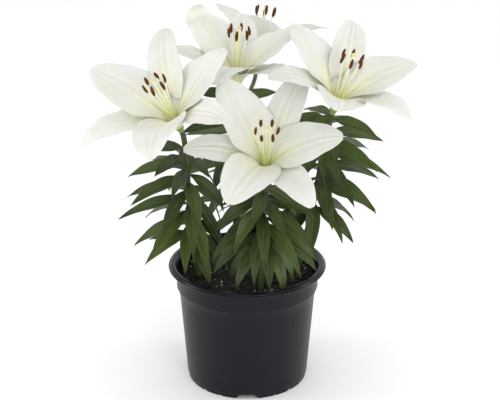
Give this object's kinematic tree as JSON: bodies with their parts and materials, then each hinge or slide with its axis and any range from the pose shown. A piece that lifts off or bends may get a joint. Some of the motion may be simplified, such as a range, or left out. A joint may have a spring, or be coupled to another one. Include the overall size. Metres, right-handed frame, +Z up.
{
  "type": "potted lily",
  "caption": "Potted white lily: leafy upright stems topped by wide open star-shaped blooms, growing from bulbs in a round black nursery pot with a broad lip.",
  "frame": {"origin": "below the middle of the whole plant's bounding box, on the surface that the pot stands on", "axes": "+Z up the plant, +X to the right and -Y towards the viewer in the pictured view"},
  "size_m": [0.3328, 0.3756, 0.3844],
  "materials": {
    "pot": "satin moulded black plastic",
    "potting_mix": "damp crumbly peat mix",
    "bulb": "fleshy overlapping scales",
    "leaf": "smooth satin leaf with parallel veins",
    "tepal": "soft matt white petal",
    "stamen": "powdery rust-brown anthers on pale green filaments"
  },
  "bodies": {
    "root": {"pot": "pot", "potting_mix": "potting_mix", "bulb_left": "bulb", "leafy_stem_left": "leaf", "bulb_front": "bulb", "leafy_stem_front": "leaf", "bulb_right": "bulb", "leafy_stem_right": "leaf", "bulb_back": "bulb", "leafy_stem_back": "leaf", "bloom_left_tepals": "tepal", "bloom_left_stamens": "stamen", "bloom_front_tepals": "tepal", "bloom_front_stamens": "stamen", "bloom_right_tepals": "tepal", "bloom_right_stamens": "stamen", "bloom_back_tepals": "tepal", "bloom_back_stamens": "stamen", "bloom_rear_tepals": "tepal", "bloom_rear_stamens": "stamen"}
  },
  "joints": []
}
